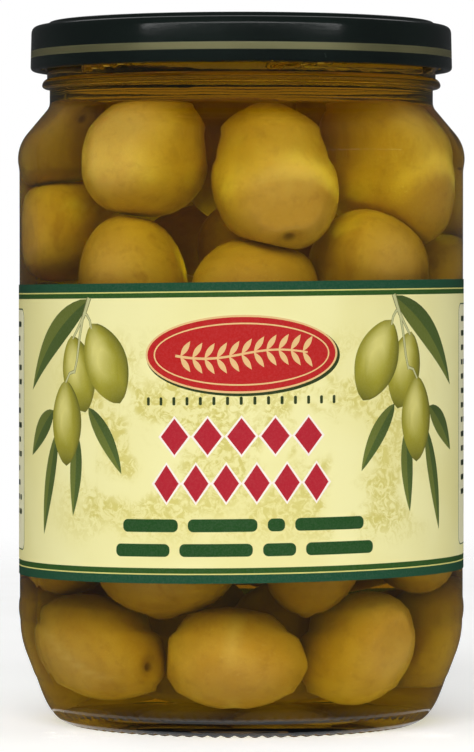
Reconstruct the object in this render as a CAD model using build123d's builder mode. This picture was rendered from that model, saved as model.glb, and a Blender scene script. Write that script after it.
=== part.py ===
from build123d import *

import os
from math import asin, cos, degrees, radians, sin, tan

# A shut glass jar of olives in brine, with a paper label wrapped round it and a twist-off lid.
# Millimetres, +Z up. The origin is on the jar's axis, on the surface that the jar stands on.
# The front of the label faces -Y and its seam is at the back, towards +Y.
# Every outline below is in (radius, height) and is turned about the Z axis.

# --- Glass, outside ---
bearing_outer_r = 34.8  # outer edge of the ring that the jar stands on
bearing_inner_r = 33.0
push_up = 3.6  # how far the underside rises at the middle
heel_end_r = 41.6  # top of the lower heel curve
heel_end_z = 9.2
heel_bead_r = 42.2  # small bead between the two heel curves
heel_bead_z = 9.95
heel_bead_top_z = 10.9
upper_heel_radius = 19.0  # radius of the curve that meets the lower contact bead
upper_heel_sweep = 21.0  # degrees, below which the heel runs straight
contact_z = 21.0  # where the upper heel curve turns upright
contact_low_r = 45.2  # lower contact bead, proud of the label panel
panel_r = 45.0  # label panel
panel_low_z = 25.5
panel_high_z = 111.5
contact_high_r = 45.3  # upper contact bead
shoulder_z = 114.2  # widest point of the upper contact bead
shoulder_radius = 8.0
shoulder_slope = 40.0  # degrees from upright
neck_r = 38.85
neck_blend = 2.5
bead_z = 128.5  # flat underside of the transfer bead
bead_r = 40.4
bead_height = 1.9
finish_r = 39.4  # threaded wall under the lid
rim_z = 140.7
rim_round = 0.9

# --- Glass, inside ---
wall = 2.6
inner_r = panel_r - wall
inner_neck_r = 36.4
floor_z = 6.6  # inner floor at the middle
floor_edge_r = 31.0
floor_edge_z = 3.6
corner_end_z = 19.0  # where the inner corner meets the upright wall
inner_shoulder_radius = 6.5
inner_shoulder_z = 113.2

# --- Grip notches under the bearing ring ---
notch_count = 84
notch_radius = 0.8
notch_depth = 0.6

# --- Thread ---
thread_count = 6
thread_size = 1.25
thread_span = 46.0  # degrees round the neck
thread_slope = 5.5  # degrees
thread_z = 133.8

# --- Brine ---
brine_z = 134.5

# --- Lid ---
steel = 0.4
skirt_z = 132.0  # lower edge of the lid
skirt_r = 42.73
skirt_top_r = 42.53
ledge_z = 141.1  # flat ledge round the raised ring
ring_r = 39.3
ring_z = 141.95
ring_inner_r = 36.0
panel_step = 0.6  # how far the middle of the lid lies below its raised ring
button_r = 12.0
button_drop = 0.4
curl = 0.8  # radius of the rolled lower edge
lug_count = 6
lug_width = 8.0
lug_reach = 1.1
lug_height = 0.9

# --- Label ---
label_low_z = 31.0
label_high_z = 89.4
label_skew = 0.73  # degrees that the label is wrapped out of level, lower on its left
paper = 0.15
seam_width = 8.0  # overlap at the back

os.makedirs("parts", exist_ok=True)


def polar(centre_r, centre_z, radius, angle):
    """A point of an outline, on a circle about (centre_r, centre_z)."""
    return (
        centre_r + radius * cos(radians(angle)),
        centre_z + radius * sin(radians(angle)),
    )


def dome(edge_r, edge_z, rise):
    """Part of a sphere's outline, from rise above edge_z on the axis out to (edge_r, edge_z)."""
    radius = (edge_r**2 + rise**2) / (2 * rise)
    return CenterArc((0, edge_z + rise - radius), radius, 90, -degrees(asin(edge_r / radius)))


def shoulder_wall(outer_r, radius, start_z, neck, blend):
    """The shoulder from the upright body wall to the upright neck, as an arc, a slope and a blend.

    Returns the height at which the neck begins."""
    CenterArc((outer_r - radius, start_z), radius, 0, shoulder_slope)
    arc_end = polar(outer_r - radius, start_z, radius, shoulder_slope)
    slope_end_r = neck + blend * (1 - cos(radians(shoulder_slope)))
    slope_end_z = arc_end[1] + (arc_end[0] - slope_end_r) / tan(radians(shoulder_slope))
    neck_start_z = slope_end_z + blend * sin(radians(shoulder_slope))
    Line(arc_end, (slope_end_r, slope_end_z))
    ThreePointArc(
        (slope_end_r, slope_end_z),
        polar(neck + blend, neck_start_z, blend, 180 + shoulder_slope / 2),
        (neck, neck_start_z),
    )
    return neck_start_z


def inner_wall(top_z):
    """The inside of the glass from the axis at the floor up to top_z in the neck."""
    dome(floor_edge_r, floor_edge_z, floor_z - floor_edge_z)
    Spline(
        (floor_edge_r, floor_edge_z),
        (inner_r - 2.9, floor_edge_z + 4.6),
        (inner_r, corner_end_z),
        tangents=[(1, 0), (0, 1)],
    )
    Line((inner_r, corner_end_z), (inner_r, inner_shoulder_z))
    neck_start_z = shoulder_wall(
        inner_r, inner_shoulder_radius, inner_shoulder_z, inner_neck_r, neck_blend
    )
    Line((inner_neck_r, neck_start_z), (inner_neck_r, top_z))


# --- One segment of thread, lying level on the +X side of the neck ---
with BuildPart() as thread:
    with BuildSketch(Plane.XZ.rotated((0, 0, -thread_span / 2))):
        with Locations((finish_r, 0)):
            Circle(thread_size)
    revolve(axis=Axis.Z, revolution_arc=thread_span)
sloping_thread = Pos(0, 0, thread_z) * Rot(thread_slope, 0, 0) * thread.part

# --- One notch across the bearing ring, on its +X side ---
with BuildPart() as notch:
    with BuildSketch(Plane.YZ.offset(bearing_inner_r - 0.8)):
        with Locations((0, notch_depth - notch_radius)):
            Circle(notch_radius)
    extrude(amount=bearing_outer_r - bearing_inner_r + 1.6)

# --- Glass jar ---
with BuildPart() as glass_jar:
    with BuildSketch(Plane.XZ):
        with BuildLine():
            # Underside and heel.
            dome(bearing_inner_r, 0, push_up)
            Line((bearing_inner_r, 0), (bearing_outer_r, 0))
            ThreePointArc(
                (bearing_outer_r, 0),
                (39.3, 3.5),
                (heel_end_r, heel_end_z),
            )
            heel_centre_r = panel_r - 0.1 - upper_heel_radius
            CenterArc((heel_centre_r, contact_z), upper_heel_radius, 0, -upper_heel_sweep)
            heel_run = polar(heel_centre_r, contact_z, upper_heel_radius, -upper_heel_sweep)
            heel_drop = heel_run[1] - heel_bead_top_z
            heel_join = (heel_run[0] - heel_drop * tan(radians(upper_heel_sweep)), heel_bead_top_z)
            Line(heel_run, heel_join)
            ThreePointArc((heel_end_r, heel_end_z), (heel_bead_r, heel_bead_z), heel_join)
            # Label panel between its two contact beads.
            ThreePointArc(
                (panel_r - 0.1, contact_z),
                (contact_low_r, (contact_z + panel_low_z) / 2),
                (panel_r, panel_low_z),
            )
            Line((panel_r, panel_low_z), (panel_r, panel_high_z))
            Spline(
                (panel_r, panel_high_z),
                (contact_high_r, shoulder_z),
                tangents=[(0, 1), (0, 1)],
            )
            # Shoulder, neck and transfer bead.
            neck_z = shoulder_wall(
                contact_high_r, shoulder_radius, shoulder_z, neck_r, neck_blend
            )
            Polyline((neck_r, neck_z), (neck_r, bead_z), (bead_r - 0.4, bead_z))
            bead = ThreePointArc(
                (bead_r - 0.4, bead_z),
                (bead_r, bead_z + 0.7),
                (finish_r, bead_z + bead_height),
            )
            # Threaded wall and rounded rim.
            Line(bead @ 1, (finish_r, rim_z - rim_round))
            outer_round = CenterArc(
                (finish_r - rim_round, rim_z - rim_round), rim_round, 0, 90
            )
            inner_round = CenterArc(
                (inner_neck_r + rim_round, rim_z - rim_round), rim_round, 90, 90
            )
            Line(outer_round @ 1, inner_round @ 0)
            inner_wall(rim_z - rim_round)
            Line((0, push_up), (0, floor_z))
        make_face()
    revolve(axis=Axis.Z)
    with PolarLocations(0, thread_count):
        add(sloping_thread)
    # Half a pitch of turn leaves a land of the ring, not a notch, on the X axis.
    with PolarLocations(0, notch_count, start_angle=180 / notch_count):
        add(notch.part, mode=Mode.SUBTRACT)
glass_jar.part.label = "glass_jar"
export_step(glass_jar.part, "parts/glass_jar.step")

# --- Brine, filling the glass up to its level ---
with BuildPart() as brine:
    with BuildSketch(Plane.XZ):
        with BuildLine():
            inner_wall(brine_z)
            Polyline((inner_neck_r, brine_z), (0, brine_z), (0, floor_z))
        make_face()
    revolve(axis=Axis.Z)
brine.part.label = "brine"
export_step(brine.part, "parts/brine.step")

# --- Lid: pressed steel with a rolled edge, lugs, and a flat seal that rests on the glass rim ---
lid_middle_z = ring_z - panel_step
skirt_inner_r = skirt_top_r - steel
outer_corners = [
    # corner, radius of its rounding
    ((skirt_r, skirt_z + curl), 0),
    ((skirt_top_r, ledge_z), 1.9),
    ((ring_r, ledge_z), 0.35),
    ((ring_r - 0.35, ring_z), 0.7),
    ((ring_inner_r, ring_z), 0.7),
    ((ring_inner_r - 0.9, lid_middle_z), 0.5),
    ((button_r, lid_middle_z), 0.5),
    ((button_r - 1.5, lid_middle_z - button_drop), 0.8),
    ((0, lid_middle_z - button_drop), 0),
]
inner_corners = [
    ((0, lid_middle_z - button_drop - steel), 0),
    ((button_r - 1.6, lid_middle_z - button_drop - steel), 0.5),
    ((button_r - 0.1, lid_middle_z - steel), 0.8),
    ((ring_inner_r - 1.4, lid_middle_z - steel), 0.1),
    ((ring_inner_r - 1.0, rim_z), 0.1),
    ((skirt_inner_r - 1.2, rim_z), 0.4),
    ((skirt_inner_r, rim_z - 1.4), 0.6),
    ((skirt_r - steel, skirt_z + curl), 0),
]
corners = outer_corners + inner_corners

with BuildPart() as lid:
    with BuildSketch(Plane.XZ):
        with BuildLine():
            FilletPolyline(
                [corner for corner, _ in corners],
                radius=[rounding for _, rounding in corners],
                close=True,
            )
        make_face()
        with Locations((skirt_r - curl, skirt_z + curl)):
            Circle(curl)
    revolve(axis=Axis.Z)
    lug_r = skirt_r - 2 * curl
    with Locations((0, 0, skirt_z + curl)):
        with PolarLocations(lug_r - lug_reach / 2 + 0.4, lug_count, start_angle=30):
            Box(lug_reach, lug_width, lug_height)
lid.part.label = "lid"
export_step(lid.part, "parts/lid.step")

# --- Label: a paper band wrapped slightly out of level, with an overlap at the back ---
label_height = label_high_z - label_low_z
label_plane = Plane.XY.offset((label_low_z + label_high_z) / 2).rotated((0, -label_skew, 0))
# The band is cut from a taller one by two planes that lean with it.
band_margin = 3.0
seam_angle = degrees(seam_width / (panel_r + paper))

with BuildPart() as label:
    with BuildSketch(Plane.XY.offset(label_low_z - band_margin)):
        Circle(panel_r + paper)
        Circle(panel_r, mode=Mode.SUBTRACT)
        with BuildLine():
            seam_inner = CenterArc((0, 0), panel_r, 90 - seam_angle / 2, seam_angle)
            seam_outer = CenterArc((0, 0), panel_r + 2 * paper, 90 - seam_angle / 2, seam_angle)
            Line(seam_inner @ 0, seam_outer @ 0)
            Line(seam_inner @ 1, seam_outer @ 1)
        make_face()
    extrude(amount=label_height + 2 * band_margin)
    with BuildSketch(label_plane):
        Circle(2 * panel_r)
    extrude(amount=label_height / 2, both=True, mode=Mode.INTERSECT)
label.part.label = "label"
export_step(label.part, "parts/label.step")
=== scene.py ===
from math import atan2, ceil, cos, degrees, hypot, pi, radians, sin, sqrt, tan

import bpy
import numpy as np
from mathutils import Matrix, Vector
from mathutils.geometry import delaunay_2d_cdt


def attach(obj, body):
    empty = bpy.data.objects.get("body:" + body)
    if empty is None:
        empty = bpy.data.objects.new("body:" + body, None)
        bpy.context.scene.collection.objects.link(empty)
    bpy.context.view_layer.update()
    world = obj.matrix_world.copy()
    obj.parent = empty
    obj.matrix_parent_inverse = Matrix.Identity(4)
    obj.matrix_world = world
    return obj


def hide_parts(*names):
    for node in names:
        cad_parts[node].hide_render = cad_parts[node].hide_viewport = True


# The looks of a shut glass jar of green olives in brine, with a paper label and a twist-off lid.
# Shapes are worked out in millimetres and made in metres. The front of the label faces -Y.
# An azimuth is in degrees from the front, and grows towards +X.

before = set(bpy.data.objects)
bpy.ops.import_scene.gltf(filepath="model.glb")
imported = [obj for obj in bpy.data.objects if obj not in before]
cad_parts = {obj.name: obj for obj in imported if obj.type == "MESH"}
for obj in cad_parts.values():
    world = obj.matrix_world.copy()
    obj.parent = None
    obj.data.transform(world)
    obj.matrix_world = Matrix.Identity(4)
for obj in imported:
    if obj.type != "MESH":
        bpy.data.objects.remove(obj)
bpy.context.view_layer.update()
scene = bpy.context.scene

MM = 0.001
UP = np.array([0.0, 0.0, 1.0])

# --- Glass ---
PANEL_R = 45.0
PANEL_LOW_Z = 25.5
PANEL_HIGH_Z = 111.5
INNER_R = 42.4
INNER_NECK_R = 36.4
FLOOR_EDGE = (31.0, 3.6)
FLOOR_Z = 6.6
CORNER_END_Z = 19.0
INNER_SHOULDER_Z = 113.2
INNER_SHOULDER_ROUND = 6.5
RING_INNER_R = 33.0
RING_OUTER_R = 34.8
PUSH_UP = 3.6
HEEL_LOW = (41.6, 9.2)
HEEL_BEAD = (41.99, 9.95)
HEEL_BEAD_TOP_Z = 10.9
HEEL_TOP = (PANEL_R - 0.1, 21.0)
HEEL_ROUND = 19.0
HEEL_SWEEP = radians(21.0)
LOW_SWELL = (45.2, 23.25)
SHOULDER_R = 45.3
SHOULDER_Z = 114.2
SHOULDER_ROUND = 8.0
SHOULDER_SLOPE = 40.0
NECK_BLEND = 2.5
NECK_R = 38.85
NECK_LOW_Z = 125.71
BEAD_Z = 128.5
BEAD_R = 40.4
BEAD_FILLET = 0.4
BEAD_ROUND = 0.65
FINISH_R = 39.4
FINISH_TOP_Z = 138.0
RIM_Z = 140.7
RIM_ROUND = 0.9
KNURLS = 84
KNURL_DEPTH = 0.6
THREADS = 6
THREAD_SIZE = 1.25
THREAD_Z = 133.8
THREAD_HALF_SPAN = radians(23.0)
THREAD_SLOPE = radians(5.5)
SEAM_AZIMUTH = -64.0
GLASS_SEGMENTS = 504

# --- Brine ---
BRINE_Z = 134.5
INTO_WALL = 0.15  # how far the brine reaches into the glass, so that no air gap shows
MENISCUS = 0.9
BRINE_SEGMENTS = 252

# --- Olives ---
CLEARANCE = 0.2  # kept between the glass and an olive's balls while they settle
CEILING = 125.5
BALLS = 5
SETTLING_STEPS = 420
SINKING_STEPS = 320
TOUCHING = 0.25  # the widest gap at which two olives still press flat on each other
CONTACT_ROUNDING = 0.6
GLASS_GAP = 0.12  # between the glass and an olive's skin
GLASS_ROUNDING = 0.06
AROUND, DOWN = 60, 24  # how finely an olive's skin is cut

# --- Lid ---
STEEL = 0.4
SKIRT_Z = 132.0
SKIRT_R = 42.73
SKIRT_TOP_R = 42.53
LEDGE_Z = 141.1
RING_R = 39.3
RING_Z = 141.95
RING_INSIDE_R = 36.0
LID_MIDDLE_Z = 141.35
BUTTON_R = 12.0
BUTTON_DROP = 0.4
CURL = 0.8
LUGS = 6
LUG_REACH = 1.1
STRIPE = (134.55, 135.95)
LID_SEGMENTS = 288

# --- Label ---
LABEL_LOW = 31.0
LABEL_HIGH = 89.4
LABEL_SKEW = radians(0.73)
LABEL_R = 45.15  # outside of the paper
PAPER = 0.15
SEAM = 8.0
LABEL_STRIPS = 126
BADGE_V = 75.4

# --- Stage ---
FLOOR_SEGMENTS = 96
FLOOR_RADII = (120.0, 300.0, 500.0, 750.0)
SHEEN_RADII = (35.8, 37.0, 40.6, 41.6)
PALE = (0.85, 1.28, 2.1)  # a lamp colour that the yellow brine turns nearly white
CREAMY = (1.0, 0.95, 0.85)
SHEET_AIM_R = 42.0
SHEET_OUT, SHEET_UP = 0.643, 0.766  # the way to a sheet's lamp, which slants up at 50 degrees
SHEET_REACH = 0.12  # in metres, from a sheet's lamp to the glass


# -------- outlines


def arc(centre, radius, start, end, count):
    """Points of an arc, with its angles in degrees."""
    angles = np.radians(np.linspace(start, end, count + 1))
    return [(centre[0] + radius * cos(a), centre[1] + radius * sin(a)) for a in angles]


def arc_through(a, b, c, count):
    """Points of the arc from a through b to c."""
    (ax, ay), (bx, by), (cx, cy) = a, b, c
    d = 2 * (ax * (by - cy) + bx * (cy - ay) + cx * (ay - by))
    aa, bb, cc = ax * ax + ay * ay, bx * bx + by * by, cx * cx + cy * cy
    centre = (
        (aa * (by - cy) + bb * (cy - ay) + cc * (ay - by)) / d,
        (aa * (cx - bx) + bb * (ax - cx) + cc * (bx - ax)) / d,
    )
    start, end = (degrees(atan2(p[1] - centre[1], p[0] - centre[0])) for p in (a, c))
    turn = (end - start) % (360.0 if d > 0 else -360.0)
    return arc(centre, hypot(ax - centre[0], ay - centre[1]), start, start + turn, count)


def curve(a, a_way, b, b_way, count):
    """Points of a cubic from a to b, leaving along a_way and arriving along b_way."""
    t = np.linspace(0, 1, count + 1)[:, None]
    a, b, a_way, b_way = (np.array(p, float) for p in (a, b, a_way, b_way))
    points = (
        (2 * t**3 - 3 * t**2 + 1) * a
        + (t**3 - 2 * t**2 + t) * a_way
        + (3 * t**2 - 2 * t**3) * b
        + (t**3 - t**2) * b_way
    )
    return [tuple(p) for p in points]


def line(a, b, count=1):
    """Points of a straight line."""
    return [tuple(p) for p in np.linspace(a, b, count + 1)]


def unit(vectors):
    """Vectors at a length of one."""
    return vectors / np.linalg.norm(vectors, axis=-1, keepdims=True)


def directions(points):
    """The direction of a line at each of its points."""
    return unit(np.gradient(points, axis=0))


def joined(*runs):
    """One outline from runs that meet, without repeated points."""
    outline = []
    for run in runs:
        for p in run:
            if not outline or hypot(p[0] - outline[-1][0], p[1] - outline[-1][1]) > 1e-6:
                outline.append(p)
    return outline


def rounded(corners, count=5):
    """An open outline through corners given as (point, radius of its rounding)."""
    outline = [corners[0][0]]
    for (a, _), (b, radius), (c, _) in zip(corners, corners[1:], corners[2:]):
        to_a = Vector(a) - Vector(b)
        to_c = Vector(c) - Vector(b)
        reach = min(radius / tan(to_a.angle(to_c) / 2), 0.49 * to_a.length, 0.49 * to_c.length)
        start = Vector(b) + to_a.normalized() * reach
        end = Vector(b) + to_c.normalized() * reach
        for k in range(count + 1):
            t = k / count
            p = start * (1 - t) ** 2 + Vector(b) * 2 * t * (1 - t) + end * t**2
            outline.append(tuple(p))
    outline.append(corners[-1][0])
    return outline


def shoulder(outer_r, radius, start_z, neck_r, count):
    """The shoulder from the upright wall to the upright neck."""
    first = arc((outer_r - radius, start_z), radius, 0, SHOULDER_SLOPE, count)
    slope = radians(SHOULDER_SLOPE)
    slope_end_r = neck_r + NECK_BLEND * (1 - cos(slope))
    slope_end_z = first[-1][1] + (first[-1][0] - slope_end_r) / tan(slope)
    neck_z = slope_end_z + NECK_BLEND * sin(slope)
    second = arc((neck_r + NECK_BLEND, neck_z), NECK_BLEND, 180 + SHOULDER_SLOPE, 180, count // 2)
    return joined(first, line(first[-1], second[0], 3), second)


def dome(rise, edge_r, top_z, radii):
    """Points of a round dome at some radii, from its rise over its edge."""
    radius = (edge_r**2 + rise**2) / (2 * rise)
    return [(r, top_z - radius + sqrt(radius**2 - r * r)) for r in radii]


def inner_outline(top_z):
    """The inside of the glass, from the axis at the floor up to top_z."""
    floor = dome(FLOOR_Z - FLOOR_EDGE[1], FLOOR_EDGE[0], FLOOR_Z, (0, 6, 12, 18, 24, 28, 31))
    middle = (INNER_R - 2.9, FLOOR_EDGE[1] + 4.6)
    corner = joined(
        curve(FLOOR_EDGE, (11, 0), middle, (5.4, 8.4), 7),
        curve(middle, (5.4, 8.4), (INNER_R, CORNER_END_Z), (0, 10), 7),
    )
    wall = line((INNER_R, CORNER_END_Z), (INNER_R, INNER_SHOULDER_Z), 14)
    top = shoulder(INNER_R, INNER_SHOULDER_ROUND, INNER_SHOULDER_Z, INNER_NECK_R, 8)
    neck = line(top[-1], (INNER_NECK_R, top_z), 3)
    return joined(floor, corner, wall, top, neck)


# -------- meshes


def add_mesh(name, points, faces, sharp_deg=45.0):
    """A smooth-shaded object from points in millimetres."""
    mesh = bpy.data.meshes.new(name)
    mesh.from_pydata((np.asarray(points) * MM).tolist(), [], [tuple(map(int, f)) for f in faces])
    mesh.polygons.foreach_set("use_smooth", [True] * len(mesh.polygons))
    mesh.update()
    mesh.set_sharp_from_angle(angle=radians(sharp_deg))
    thing = bpy.data.objects.new(name, mesh)
    scene.collection.objects.link(thing)
    return thing


def turned(name, outline, segments, shape, sharp_deg=45.0):
    """A closed mesh from an outline of (radius, height) that starts and ends on the axis.
    shape takes and returns the radius and height of every point, at its angle."""
    rows = np.array(outline)
    angle = np.tile(np.arange(segments) * 2 * pi / segments, (len(rows) - 2, 1))
    r = np.repeat(rows[1:-1, :1], segments, axis=1)
    z = np.repeat(rows[1:-1, 1:], segments, axis=1)
    r, z = shape(angle, r, z)
    rings = np.stack([r * np.cos(angle), r * np.sin(angle), z], -1).reshape(-1, 3)
    points = np.vstack([[[0, 0, rows[0, 1]]], rings, [[0, 0, rows[-1, 1]]]])
    k = np.arange(segments)
    after = (k + 1) % segments
    faces = [(0, 1 + b, 1 + a) for a, b in zip(k, after)]
    for row in range(len(rows) - 3):
        low, high = 1 + row * segments, 1 + (row + 1) * segments
        faces += zip(low + k, low + after, high + after, high + k)
    last = 1 + (len(rows) - 3) * segments
    faces += [(last + a, last + b, len(points) - 1) for a, b in zip(k, after)]
    return add_mesh(name, points, faces, sharp_deg)


def store(thing, name, values, kind="FLOAT", domain="POINT"):
    """Keeps values on the mesh for its material to read."""
    attribute = thing.data.attributes.new(name, kind, domain)
    field = {"FLOAT": "value", "FLOAT_VECTOR": "vector", "FLOAT_COLOR": "color"}[kind]
    attribute.data.foreach_set(field, np.asarray(values, np.float32).ravel())


def smooth_step(low, high, x):
    """0 below low, 1 above high, and smooth in between."""
    t = np.clip((x - low) / (high - low), 0, 1)
    return t * t * (3 - 2 * t)


def bell(x, width):
    """1 at zero, and fading on both sides of it."""
    return np.exp(-((x / width) ** 2))


def waves(angle, z, seed, fine):
    """Gentle unevenness of moulded glass, about -1 to 1 and the same at 0 and 360 degrees."""
    rng = np.random.default_rng(seed)
    total = np.zeros_like(angle)
    for turns, pitch, share in ((2, 70, 1.0), (3, 45, 0.8), (5, 34, 0.6), (9, 22, fine), (14, 15, fine)):
        phase = rng.uniform(0, 2 * pi, 2)
        total += share * np.sin(turns * angle + phase[0]) * np.sin(2 * pi * z / pitch + phase[1])
    return total / 2.0


# -------- materials


def srgb(r, g, b, alpha=1.0):
    """A colour from its display values of 0 to 255."""

    def linear(v):
        v /= 255
        return v / 12.92 if v <= 0.04045 else ((v + 0.055) / 1.055) ** 2.4

    return (linear(r), linear(g), linear(b), alpha)


class Nodes:
    """A material's or world's node tree, with short calls to add to it."""

    def __init__(self, owner):
        owner.use_nodes = True
        self.owner = owner
        self.tree = owner.node_tree
        self.tree.nodes.clear()

    def add(self, kind, inputs=None, **settings):
        """A node with its settings. Each input is another node's output or a plain value."""
        node = self.tree.nodes.new("ShaderNode" + kind)
        for name, value in settings.items():
            setattr(node, name, value)
        for socket, value in (inputs or {}).items():
            if isinstance(value, bpy.types.NodeSocket):
                self.tree.links.new(value, node.inputs[socket])
            else:
                node.inputs[socket].default_value = value
        return node

    def noise(self, place, scale, detail=4.0, roughness=0.5, distortion=0.0):
        """Noise from 0 to 1. Its scale is in features per metre where the place is in metres."""
        inputs = {"Vector": place, "Scale": scale, "Detail": detail, "Roughness": roughness}
        return self.add("TexNoise", inputs | {"Distortion": distortion}).outputs["Fac"]

    def stretch(self, value, low, high, to_low=0.0, to_high=1.0, smooth=True):
        """Maps the range from low to high onto another, and holds its ends."""
        inputs = {"Value": value, "From Min": low, "From Max": high, "To Min": to_low, "To Max": to_high}
        easing = "SMOOTHSTEP" if smooth else "LINEAR"
        return self.add("MapRange", inputs, interpolation_type=easing).outputs["Result"]

    def math(self, operation, *values):
        """Arithmetic on outputs or numbers."""
        return self.add("Math", dict(enumerate(values)), operation=operation).outputs[0]

    def times(self, a, b):
        """The product of two outputs or numbers."""
        return self.math("MULTIPLY", a, b)

    def mix(self, share, a, b):
        """A colour between a and b, each an output or a colour."""
        return self.add("Mix", {0: share, 6: a, 7: b}, data_type="RGBA").outputs[2]

    def tinted(self, colour, *tints):
        """A colour under tints that are laid over it in turn, each as (share, colour)."""
        for share, tint in tints:
            colour = self.mix(share, colour, tint)
        return colour

    def mix_shader(self, share, a, b):
        """A shader between two shaders."""
        return self.add("MixShader", {0: share, 1: a.outputs[0], 2: b.outputs[0]})

    def bump(self, height, distance):
        """A bump of the given height in metres."""
        return self.add("Bump", {"Height": height, "Distance": distance}).outputs["Normal"]

    def place(self):
        """The place on the object, in metres."""
        return self.add("TexCoord").outputs["Object"]

    def split(self, vector):
        """A vector's x, y and z."""
        return self.add("SeparateXYZ", {"Vector": vector}).outputs

    def attribute(self, name, output="Fac"):
        """A value stored on the mesh."""
        return self.add("Attribute", attribute_name=name).outputs[output]

    def finish(self, surface, volume=None):
        """Ends the material with the node of its surface, and that of its inside if it has one."""
        ends = {"Surface": surface, "Volume": volume}
        self.add("OutputMaterial", {name: node.outputs[0] for name, node in ends.items() if node})
        return self.owner


def see_through(name, ior, tint, density, bump_scale=0.0, bump_height=0.0):
    """Clear matter that lets lamp light straight in, and takes up light on the way through."""
    n = Nodes(bpy.data.materials.new(name))
    optics = {"IOR": ior, "Roughness": 0.0}
    if bump_height:
        optics["Normal"] = n.bump(n.noise(n.place(), bump_scale, detail=2.0), bump_height)
    clear = n.add("BsdfTransparent")
    path = n.add("LightPath").outputs
    body = n.mix_shader(path["Is Shadow Ray"], n.add("BsdfGlass", optics), clear)
    body = n.mix_shader(path["Is Diffuse Ray"], body, clear)
    return n.finish(body, n.add("VolumeAbsorption", {"Color": tint, "Density": density}))


# -------- glass jar

heel_centre = (HEEL_TOP[0] - HEEL_ROUND, HEEL_TOP[1])
heel_run = (
    heel_centre[0] + HEEL_ROUND * cos(HEEL_SWEEP),
    heel_centre[1] - HEEL_ROUND * sin(HEEL_SWEEP),
)
heel_join = (heel_run[0] - (heel_run[1] - HEEL_BEAD_TOP_Z) * tan(HEEL_SWEEP), HEEL_BEAD_TOP_Z)
bead_side = (BEAD_R, BEAD_Z + BEAD_ROUND)
bead_top = (FINISH_R, BEAD_Z + 1.9)
outside = joined(
    dome(PUSH_UP, RING_INNER_R, PUSH_UP, (0, 10, 20, 26, 29, 31, 31.8, 32.3, 32.7, RING_INNER_R)),
    line((RING_INNER_R, 0), (RING_OUTER_R, 0), 5),
    curve((RING_OUTER_R, 0), (12.0, 2.0), HEEL_LOW, (3.6, 10.2), 18),
    arc_through(HEEL_LOW, HEEL_BEAD, heel_join, 6),
    line(heel_join, heel_run, 2),
    arc(heel_centre, HEEL_ROUND, -degrees(HEEL_SWEEP), 0, 8),
    arc_through(HEEL_TOP, LOW_SWELL, (PANEL_R, PANEL_LOW_Z), 8),
    line((PANEL_R, PANEL_LOW_Z), (PANEL_R, PANEL_HIGH_Z), 6),
    curve((PANEL_R, PANEL_HIGH_Z), (0, 2.7), (SHOULDER_R, SHOULDER_Z), (0, 2.7), 6),
    shoulder(SHOULDER_R, SHOULDER_ROUND, SHOULDER_Z, NECK_R, 12),
    line((NECK_R, NECK_LOW_Z), (NECK_R, BEAD_Z - BEAD_FILLET), 2),
    arc((NECK_R + BEAD_FILLET, BEAD_Z - BEAD_FILLET), BEAD_FILLET, 180, 90, 3),
    arc((BEAD_R - BEAD_ROUND, BEAD_Z + BEAD_ROUND), BEAD_ROUND, -90, 0, 5),
    arc_through(bead_side, (BEAD_R - 0.25, BEAD_Z + 1.35), bead_top, 5),
    line(bead_top, (FINISH_R, FINISH_TOP_Z), 24),
    line((FINISH_R, FINISH_TOP_Z), (FINISH_R, RIM_Z - RIM_ROUND), 2),
    arc((FINISH_R - RIM_ROUND, RIM_Z - RIM_ROUND), RIM_ROUND, 0, 90, 4),
    arc((INNER_NECK_R + RIM_ROUND, RIM_Z - RIM_ROUND), RIM_ROUND, 90, 180, 4),
)
inside_rows = inner_outline(RIM_Z - RIM_ROUND)
glass_outline = joined(outside, inside_rows[::-1])


def inner_unevenness(angle, z):
    """How far the inside of the glass stands out from its true radius."""
    share = smooth_step(9, 20, z) * (1 - smooth_step(120, 128, z))
    return 0.09 * share * waves(angle, z, 3, fine=0.35)


def glass_shape(angle, r, z):
    """Knurls, thread, mould seams and unevenness of the glass."""
    azimuth = angle + pi / 2
    outer = np.zeros_like(r, dtype=bool)
    outer[: len(outside) - 1] = True
    knurl = KNURL_DEPTH * (1 - np.abs(np.cos(KNURLS / 2 * angle)) ** 1.2)
    near_ring = outer & (r > 31.9) & (r < 36.2) & (z < 2)
    z = np.where(near_ring, np.maximum(z, knurl), z)
    finish = outer & (z > BEAD_Z + 2.0) & (z < 138.5)
    local = (angle + pi / THREADS) % (2 * pi / THREADS) - pi / THREADS
    middle = THREAD_Z + FINISH_R * np.sin(local) * sin(THREAD_SLOPE)
    across = np.clip(1 - ((z - middle) / THREAD_SIZE) ** 2, 0, 1)
    ends = 1 - smooth_step(THREAD_HALF_SPAN * 0.86, THREAD_HALF_SPAN, np.abs(local))
    r = r + np.where(finish, THREAD_SIZE * np.sqrt(across) * ends, 0)
    upright = outer & (z > 8) & (z < 127)
    seam = np.zeros_like(r)
    for side in (SEAM_AZIMUTH, SEAM_AZIMUTH + 180):
        away = (azimuth - radians(side) + pi) % (2 * pi) - pi
        seam += 0.1 * bell(away * PANEL_R, 0.6)
    r = r + np.where(upright, seam + 0.02 * waves(angle, z, 5, fine=0.5), 0)
    r = r + np.where(~outer, inner_unevenness(angle, z), 0)
    return r, z


glass = turned("glass_jar_looks", glass_outline, GLASS_SEGMENTS, glass_shape)
glass.data.materials.append(
    see_through("clear_glass", 1.52, (0.86, 0.95, 0.90, 1), 12.0, bump_scale=90.0, bump_height=0.00002)
)
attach(glass, "root")
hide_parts("glass_jar")

# -------- brine

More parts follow.
